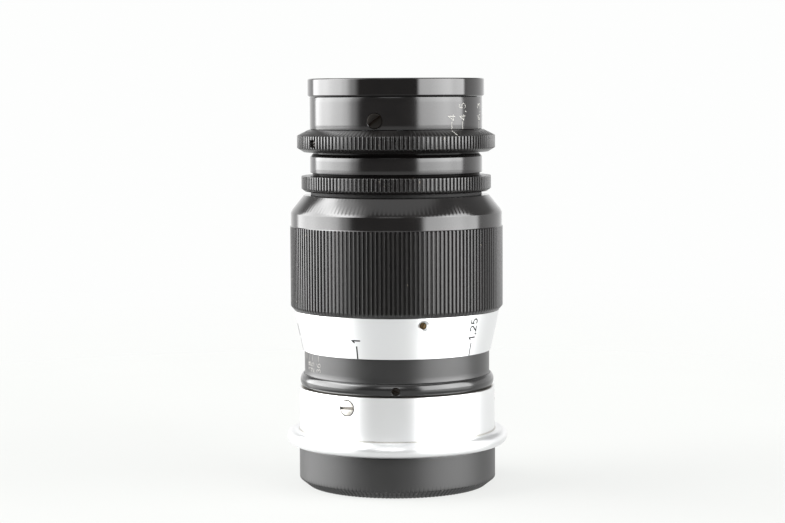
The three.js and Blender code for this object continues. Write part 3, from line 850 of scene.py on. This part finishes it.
def distance_scale():
    outline = section("distance_scale_ring")
    low = bottom_of(outline)
    smooth = divided(eased(outline, 0.06), 1.5, (low, math.inf))
    holes = [hole(seat, 0.05, 1.6, 0.45) for seat in seats("scale_ring_set_screw")]
    made(
        "distance_scale_ring", smooth, WALL_SIDES,
        "focus_barrel", "chrome_plate", satin_chrome, cutters=holes,
    )
    for i in (1, 2, 3):
        grub_screw(f"scale_ring_set_screw_{i}", 65 * i, "focus_barrel", "brass", brass_screw, 0.5)
    return outline


def moving_helicoid():
    outline = section("moving_helicoid")
    low, high = bottom_of(outline), top_of(outline)
    bore_r = narrowest(outline)
    smooth = divided(eased(outline, 0.1), 0.4, (low, high), wall(bore_r))
    cut = thread(bore_r, 0.55, frame_lead(), 5, low + 0.4, high - 0.4, inside=True)
    made("moving_helicoid", smooth, TUBE_SIDES, "focus_barrel", "brass", brass, [cut])


def drive_tube():
    outline = section("coupling_drive_tube")
    low = bottom_of(outline)
    flange_z = min(z for r, z in outline if r > 18)
    wall_r = outer_radius(outline, low + 1)
    smooth = divided(eased(outline, 0.1), 0.22, (low, low + 12), wall(wall_r))
    cut = thread(wall_r, 0.2, frame_lead() * SLEEVE_LEAD_SHARE, 3, low + 0.6, low + 11)
    lug = Seat("infinity_stop_lug")
    clear_of_lug = 32
    notch = sector(
        "notch", 16.7, 18.0, lug.azimuth - clear_of_lug, lug.azimuth + 5, flange_z - 1, flange_z + 0.9,
    )
    made("coupling_drive_tube", smooth, TUBE_SIDES, "focus_barrel", "brass", brass, [cut], [notch])


# ---- lens head


def plain_ring(node, body, slot, material, radius=0.06, sides=192):
    """A CAD ring turned again with eased corners."""
    made(node, eased(section(node), radius), sides, body, slot, material)


def head_collar():
    outline = section("head_collar")
    outer_r = widest(outline)
    low = bottom_of(outline)
    smooth = divided(eased(outline, 0.10), 0.25, (low, low + 1.0), (outer_r - 0.9, outer_r))
    teeth = knurl(COLLAR_TEETH, 0.30, outer_r)
    angles = tooth_angles(COLLAR_TEETH)
    made("head_collar", smooth, angles, "focus_barrel", "black_lacquer", ring_lacquer, [teeth])


def head_tube():
    outline = section("head_tube")
    neck_r = widest(outline)
    smooth = divided(eased(outline, 0.12), 1.0, (62, 69), wall(neck_r))
    screw = Seat("aperture_drive_screw")
    low, high = joint_range("aperture_turn")
    start, end = screw.azimuth + low - 2.5, screw.azimuth + high + 2.5
    slot = sector("slot", 15.9, 17.5, start, end, screw.z - 0.65, screw.z + 0.65)
    cutters = [slot, hole(Seat("head_lock_screw"), 0.1, 2.0)]
    made("head_tube", smooth, WALL_SIDES, "focus_barrel", "black_lacquer", neck_lacquer, cutters=cutters)
    grub_screw("head_lock_screw", 20, "focus_barrel", "screw_steel", black_steel, 0.1)


def front_barrel():
    outline = section("front_barrel")
    barrel_r = widest(outline)
    smooth = divided(eased(outline, 0.10), 1.0, walls=wall(barrel_r))
    holes = [hole(seat, 0.07, 0.7) for seat in seats("barrel_screw")]
    made("front_barrel", smooth, WALL_SIDES, "focus_barrel", "black_lacquer", barrel_lacquer, cutters=holes)
    for i in (1, 2, 3):
        cap_screw(f"barrel_screw_{i}", 37 + 20 * (i - 1), "focus_barrel", black_steel)
    return outline


def aperture_ring():
    outline = section("aperture_ring")
    outer_r = widest(outline)
    low = bottom_of(outline)
    high = top_of(outline)
    smooth = eased(outline, 0.10, bands=[(high - 1.3, high - 1.0, 0.2)])
    smooth = divided(smooth, 0.4, (low, high), (outer_r - 1.5, outer_r))
    teeth = knurl(RING_TEETH, 0.30, outer_r)
    angles = tooth_angles(RING_TEETH)
    screw = Seat("aperture_drive_screw")
    holes = [hole(screw, 0.14, 3.0, 0.1, outer_r - screw.face)]
    made("aperture_ring", smooth, angles, "aperture_ring", "black_lacquer", ring_lacquer, [teeth], holes)
    r = screw.diameter / 2
    pin_r = r * 0.57
    head_foot = -r * 3.3
    shape = [(0, -screw.length), (pin_r, -screw.length), (pin_r, head_foot), (r, head_foot), (r, 0), (0, 0)]
    bolt = turned("aperture_drive_bolt", eased(shape, 0.07), SCREW_SIDES)
    carve(bolt, [cross_slot(8, 3, 0.28, 0.8)])
    placed(bolt, screw.matrix())
    fitted(bolt, "aperture_ring", "screw_steel", black_steel, "aperture_drive_screw")
    return outline


# ---- iris

BLADES = [f"iris_blade_{i}" for i in range(1, 11)]


def iris():
    for node in BLADES:
        dress(node, blade_steel)
    plate_outline = eased(section("iris_base_plate", IRIS_BACK), 0.05)
    holes = []
    for node in BLADES:
        azimuth, radius = pin_centre(node, highest=True)
        turn = math.radians(azimuth)
        outline = [(0, 70), (0.36, 70), (0.36, 78), (0, 78)]
        place = Matrix.Translation((radius * math.sin(turn) * MM, -radius * math.cos(turn) * MM, 0))
        holes.append(placed(turned("pin_hole", outline, 24), place))
    made(
        "iris_base_plate", plate_outline, IRIS_SIDES,
        "focus_barrel", "matt_black", inner_black, cutters=holes,
    )
    cam_outline = section("iris_cam_ring", IRIS_BACK)
    inner_r, outer_r = narrowest(cam_outline), widest(cam_outline)
    low = bottom_of(cam_outline)
    slots = []
    for node in BLADES:
        azimuth, radius = pin_centre(node, highest=False)
        slot = block("cam_slot", 1.2, outer_r - inner_r - 1.6, 6)
        move = Matrix.Rotation(math.radians(azimuth), 4, "Z") @ Matrix.Translation(
            (0, -(inner_r + outer_r - 0.2) / 2 * MM, low * MM)
        )
        slots.append(placed(slot, move))
    cam_outline = eased(cam_outline, 0.08)
    made(
        "iris_cam_ring", cam_outline, IRIS_SIDES,
        "aperture_ring", "matt_black", inner_black, cutters=slots,
    )


# ---- glasses


def polished_face(axis_z, edge, steps=28):
    """Points of a spherical face from the axis out to its edge corner."""
    edge_r, edge_z = edge
    sag = edge_z - axis_z
    if abs(sag) < 0.02:
        return [(edge_r * k / steps, axis_z + sag * (k / steps) ** 2) for k in range(steps + 1)]
    curve = (edge_r**2 + sag**2) / (2 * sag)
    points = []
    for k in range(steps + 1):
        r = edge_r * k / steps
        points.append((r, axis_z + curve - math.copysign(math.sqrt(curve**2 - r**2), curve)))
    return points


def glass_element(node, material):
    outline = section(node)
    axis = sorted(z for r, z in outline if r == 0.0)
    edge_r = widest(outline)
    edge = sorted(z for r, z in outline if r > edge_r - 0.01)
    rear = polished_face(axis[0], (edge_r, edge[0]))
    front = polished_face(axis[-1], (edge_r, edge[-1]))
    element = turned(f"{node}_polished", rear + front[::-1], 128)
    fitted(element, "focus_barrel", "optical_glass", material, node)


# ---- engraved scales


def bow(centre_x, centre_y, reach_x, reach_y, start, end, steps=12):
    """Points along an ellipse, angles in degrees."""
    points = []
    for k in range(steps + 1):
        angle = math.radians(start + (end - start) * k / steps)
        points.append((centre_x + reach_x * math.cos(angle), centre_y + reach_y * math.sin(angle)))
    return points


# Single strokes in a box one unit high, as a pantograph cuts them: (width, strokes).
GLYPHS = {
    "0": (0.58, [bow(0.29, 0.5, 0.29, 0.5, 90, 450, 20)]),
    "1": (0.36, [[(0.02, 0.70), (0.28, 1.0), (0.28, 0.0)]]),
    "2": (0.58, [bow(0.29, 0.71, 0.28, 0.29, 165, -40) + [(0.0, 0.0), (0.58, 0.0)]]),
    "3": (0.56, [bow(0.27, 0.76, 0.24, 0.24, 150, -90), bow(0.27, 0.26, 0.28, 0.26, 90, -150)]),
    "4": (0.62, [[(0.44, 0.0), (0.44, 1.0), (0.0, 0.28), (0.62, 0.28)]]),
    "5": (0.58, [[(0.52, 1.0), (0.12, 1.0), (0.07, 0.56)] + bow(0.27, 0.32, 0.29, 0.32, 130, -140)]),
    "6": (0.58, [bow(0.29, 0.30, 0.28, 0.30, 90, 450, 18), bow(0.66, 0.33, 0.65, 0.67, 100, 178)]),
    "7": (0.54, [[(0.0, 1.0), (0.54, 1.0), (0.18, 0.0)]]),
    "8": (0.58, [bow(0.29, 0.76, 0.23, 0.24, 90, 450, 16), bow(0.29, 0.26, 0.28, 0.26, 90, 450, 18)]),
    "9": (0.58, [bow(0.29, 0.70, 0.28, 0.30, 90, 450, 18), bow(-0.08, 0.67, 0.65, 0.67, -80, -2)]),
    ",": (0.14, [[(0.12, 0.10), (0.02, -0.16)]]),
    "~": (1.20, [bow(0.3, 0.5, 0.3, 0.26, 0, 360, 18), bow(0.9, 0.5, 0.3, 0.26, 180, 540, 18)]),
}
GLYPH_GAP = 0.26


def line(azimuth, low, high):
    """A mark up the lens's side between two heights."""
    return [(azimuth, [(0, low), (0, high)])]


def numeral(azimuth, text, size, start_z):
    """Strokes of a number that reads upwards from a height, centred on its azimuth."""
    strokes = []
    along = start_z
    for letter in text:
        width, shapes = GLYPHS[letter]
        for shape in shapes:
            strokes.append((azimuth, [((0.5 - y) * size, along + x * size) for x, y in shape]))
        along += (width + GLYPH_GAP) * size
    return strokes


PAINT_LIFT, PAINT_FOOT = 0.012, -0.04  # the paint's faces, measured out from the wall


def engraving(name, outline, strokes, width, body, material, slot, lift=PAINT_LIFT):
    """Paint-filled strokes as thin closed strips that follow an outline's outer wall.

    A stroke is a list of (distance round the wall, height) in mm. Each carries its azimuth in degrees.
    """
    vertices, faces = [], []
    for azimuth, stroke in strokes:
        path = divided(stroke, 0.3, closed=False)
        first = len(vertices)
        for i, point in enumerate(path):
            ahead = Vector(path[min(i + 1, len(path) - 1)]) - Vector(point)
            back = Vector(point) - Vector(path[max(i - 1, 0)])
            ahead = ahead if ahead.length else back
            back = back if back.length else ahead
            mitre = (ahead.normalized() + back.normalized()).normalized()
            spread = width / 2 / max(0.5, mitre.dot(ahead.normalized()))
            side = Vector((-mitre.y, mitre.x)) * spread
            for sign, height in ((1, lift), (-1, lift), (-1, PAINT_FOOT), (1, PAINT_FOOT)):
                x, z = Vector(point) + side * sign
                radius = outer_radius(outline, z) + height
                turn = math.radians(azimuth) + x / outer_radius(outline, z)
                vertices.append((radius * math.sin(turn), -radius * math.cos(turn), z))
        last = first + 4 * (len(path) - 1)
        faces.append((first, first + 1, first + 2, first + 3))
        faces.append((last + 3, last + 2, last + 1, last))
        for start in range(first, last, 4):
            for k in range(4):
                a, b = start + k, start + (k + 1) % 4
                faces.append((a, a + 4, b + 4, b))
    obj = mesh_object(name, vertices, faces)
    clean(obj)
    return fitted(obj, body, slot, material)


FOCAL = 90.0
FOCUS_INDEX = -82.0  # azimuth of the distance index on the scale tube
APERTURE_INDEX = 37.6  # azimuth of the aperture ring's index
STOPS = ("4", "4,5", "6,3", "9", "12,5", "18", "25", "36")


def number(text):
    return float(text.replace(",", "."))


def focus_angle(metres):
    """Degrees the barrel turns from infinity to a subject's distance from the film."""
    span = metres * 1000 - 2 * FOCAL
    extension = (span - math.sqrt(span**2 - 4 * FOCAL**2)) / 2
    return extension / frame_lead() * 360


def stop_angle(stop):
    """Degrees the aperture ring turns from f/4 to a stop, by the iris leaves' geometry."""
    blade_r, pivot_r = 11.4, 14.4
    opening = FOCAL / 2 / number(stop)
    return math.degrees(4 * math.asin(max(0.0, blade_r - opening) / (2 * pivot_r)))


def distance_marks(outline):
    low = bottom_of(outline)
    strokes = []
    metres = ("1", "1,25", "1,5", "1,75", "2", "2,5", "3", "4", "5", "7", "10", "20")
    for text in metres:
        azimuth = FOCUS_INDEX - focus_angle(number(text))
        strokes += line(azimuth, low + 0.02, low + 2.6)
        strokes += numeral(azimuth, text, 1.75, low + 3.25)
    strokes += line(FOCUS_INDEX, low + 0.02, low + 2.6)
    strokes += numeral(FOCUS_INDEX, "~", 1.9, low + 3.2)
    engraving("distance_marks", outline, strokes, 0.28, "focus_barrel", black_paint, "black_lacquer")


def depth_marks(outline, scale_bottom):
    """An index mark, a mark each side of it for each stop's depth of field from f/6,3, and numbers beside the
    marks from f/18 up.
    """
    strokes = line(FOCUS_INDEX, scale_bottom - 4.4, scale_bottom - 0.1)
    per_stop = 25.5 / 36  # degrees: the mark for f/36 stands 25.5 degrees off the index
    size = 1.35
    for text in STOPS[2:]:
        for side in (-1, 1):
            azimuth = FOCUS_INDEX + side * per_stop * number(text)
            strokes += line(azimuth, scale_bottom - 1.5, scale_bottom - 0.15)
            if number(text) < 18:
                continue
            length = sum(GLYPHS[c][0] + GLYPH_GAP for c in text) * size
            strokes += numeral(azimuth, text, size, scale_bottom - 1.5 - length)
    engraving("depth_marks", outline, strokes, 0.11, "mount", faded_paint, "satin_black")


def aperture_marks(outline):
    low = bottom_of(outline)
    strokes = []
    for text in STOPS:
        azimuth = APERTURE_INDEX + stop_angle(text)
        strokes += line(azimuth, low + 0.1, low + 1.6)
        size = 1.8 if number(text) < 15 else 1.25  # the small stops lie close together
        strokes += numeral(azimuth, text, size, low + 1.85)
    engraving("aperture_marks", outline, strokes, 0.12, "focus_barrel", white_paint, "black_lacquer")


def aperture_index(outline):
    high = top_of(outline)
    index = line(APERTURE_INDEX, high - 1.25, high - 0.1)
    engraving("aperture_index", outline, index, 0.20, "aperture_ring", white_paint, "black_lacquer", 0.015)


# ---- assembly

rear_cap()
mount()
depth_outline = depth_scale()
fixed_helicoid()
coupling_sleeve()
focus_barrel()
distance_outline = distance_scale()
moving_helicoid()
drive_tube()
plain_ring("head_shim", "focus_barrel", "satin_black", inner_black)
head_collar()
head_tube()
barrel_outline = front_barrel()
plain_ring("front_rim", "focus_barrel", "black_lacquer", gloss_lacquer, 0.14, 288)
plain_ring("front_retaining_ring", "focus_barrel", "matt_black", inner_black, 0.08)
for inner_ring in ("second_glass_ring", "rear_cell", "rear_glass_ring"):
    plain_ring(inner_ring, "focus_barrel", "matt_black", inner_black)
plain_ring("light_baffle", "focus_slide", "matt_black", inner_black, 0.03)
ring_outline = aperture_ring()
iris()
glass_element("front_glass", coated_glass)
for inner_glass in ("second_glass", "rear_glass_inner", "rear_glass_outer"):
    glass_element(inner_glass, plain_glass)
distance_marks(distance_outline)
depth_marks(depth_outline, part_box("distance_scale_ring")[0].z / MM)
aperture_marks(barrel_outline)
aperture_index(ring_outline)

# ---- floor, light and camera


def pale_floor():
    """A pale table that fades into the white background a little way off."""
    bm = bmesh.new()
    bmesh.ops.create_circle(bm, cap_ends=True, radius=3.0, segments=96)
    mesh = bpy.data.meshes.new("floor")
    bm.to_mesh(mesh)
    bm.free()
    floor = bpy.data.objects.new("floor", mesh)
    floor.location.z = -0.05 * MM
    bpy.context.scene.collection.objects.link(floor)
    s = new_shader("floor")
    grain = s.noise(s.place, 0.02, 3.0)
    shade = s.mix(grain, (0.068, 0.069, 0.067), (0.074, 0.075, 0.073))
    diffuse = s.node("ShaderNodeBsdfDiffuse", {"Color": shade}).outputs[0]
    glow = s.node("ShaderNodeEmission", {"Color": (0.99, 1.0, 0.985), "Strength": 0.745}).outputs[0]
    table = s.node("ShaderNodeAddShader", {0: diffuse, 1: glow}).outputs[0]
    clear = s.node("ShaderNodeBsdfTransparent").outputs[0]
    fade = s.ramp(s.radius, 140.0, 480.0)
    seen = s.node("ShaderNodeLightPath").outputs["Is Camera Ray"]
    see_through = s.blend(seen, s.math("MAXIMUM", fade, 0.5), fade)
    mixed = s.node("ShaderNodeMixShader", {0: see_through, 1: table, 2: clear}).outputs[0]
    s.node("ShaderNodeOutputMaterial", {"Surface": mixed})
    mesh.materials.append(s.owner)


def studio_world():
    """A white studio: a large soft light at each side, a small one above a dim camera side, a ceiling.

    Each light is a (degrees, brightness) profile round the lens times one of height above the table.
    """
    world = bpy.data.worlds.new("studio")
    bpy.context.scene.world = world
    s = Shader(world)
    direction = s.node("ShaderNodeTexCoord").outputs["Generated"]
    x, y, z = s.node("ShaderNodeSeparateXYZ", {0: direction}).outputs
    azimuth = s.math("DEGREES", s.math("ARCTAN2", x, s.times(y, -1.0)))
    elevation = s.math("DEGREES", s.math("ARCSINE", z))

    leaning = s.plus(azimuth, s.times(s.math("MAXIMUM", elevation, 0.0), -0.15))
    left_sides = [
        (-139, 0), (-130, 8), (-118, 8.5), (-98, 12), (-78, 12.5), (-70, 10.5), (-58, 4), (-47, 0),
    ]
    left_top = [(34, 1.0), (42, 1.45), (46, 1.4), (51, 0.6), (56, 0.3), (66, 0.0)]
    low_edge = [(-30, 0.0), (-14, 0.45), (-8, 0.55), (-5, 0.40), (-3.5, 0.42), (-2, 0.78), (0, 1.0)]
    left = s.times(
        s.profile(leaning, left_sides),
        s.profile(elevation, low_edge + left_top),
    )
    right = s.times(
        s.profile(azimuth, [(26, 0), (32, 9), (37, 9.5), (71, 12.5), (84, 10), (96, 9), (102, 0)]),
        s.profile(elevation, low_edge + [(40, 1.0), (50, 0.0)]),
    )
    front = s.times(
        s.profile(azimuth, [(-27, 0), (-19, 3), (3, 3), (11, 0)]),
        s.profile(elevation, [(16, 0), (26, 1), (42, 1), (52, 0)]),
    )
    behind = s.ramp(s.math("ABSOLUTE", azimuth), 80.0, 110.0)
    in_front = s.profile(elevation, [(-8, 0.9), (-4, 0.2), (15, 0.2), (25, 0.4)])
    backdrop = s.profile(elevation, [(-8, 0.9), (-3, 1.25), (14, 1.25), (24, 0.4)])
    room = s.blend(behind, in_front, backdrop)
    room = s.blend(s.ramp(elevation, 58.0, 66.0), room, 1.3)
    total = s.plus(s.plus(room, left), s.plus(right, front))
    seen = s.node("ShaderNodeLightPath").outputs["Is Camera Ray"]
    lit = s.node("ShaderNodeBackground", {"Color": (1.0, 1.0, 1.0), "Strength": total}).outputs[0]
    white = s.node("ShaderNodeBackground", {"Color": (0.985, 0.99, 0.985), "Strength": 1.0}).outputs[0]
    mixed = s.node("ShaderNodeMixShader", {0: seen, 1: lit, 2: white}).outputs[0]
    s.node("ShaderNodeOutputWorld", {"Surface": mixed})


EYE = (-0.84, -431.6, 80.4)  # where the picture is taken from, in mm
LENS_MM = 96.1
TILT, ROLL = 85.446, -0.275  # degrees


def photograph_camera():
    camera = bpy.data.objects.new("camera", bpy.data.cameras.new("camera"))
    camera.data.lens = LENS_MM
    camera.data.sensor_width = 36.0
    camera.data.clip_start = 0.01
    camera.location = Vector(EYE) * MM
    tilt = Matrix.Rotation(math.radians(TILT), 4, "X")
    roll = Matrix.Rotation(math.radians(ROLL), 4, "Z")
    camera.rotation_euler = (tilt @ roll).to_euler()
    bpy.context.scene.collection.objects.link(camera)
    bpy.context.scene.camera = camera


pale_floor()
studio_world()
photograph_camera()
bpy.context.scene.view_settings.view_transform = "Standard"
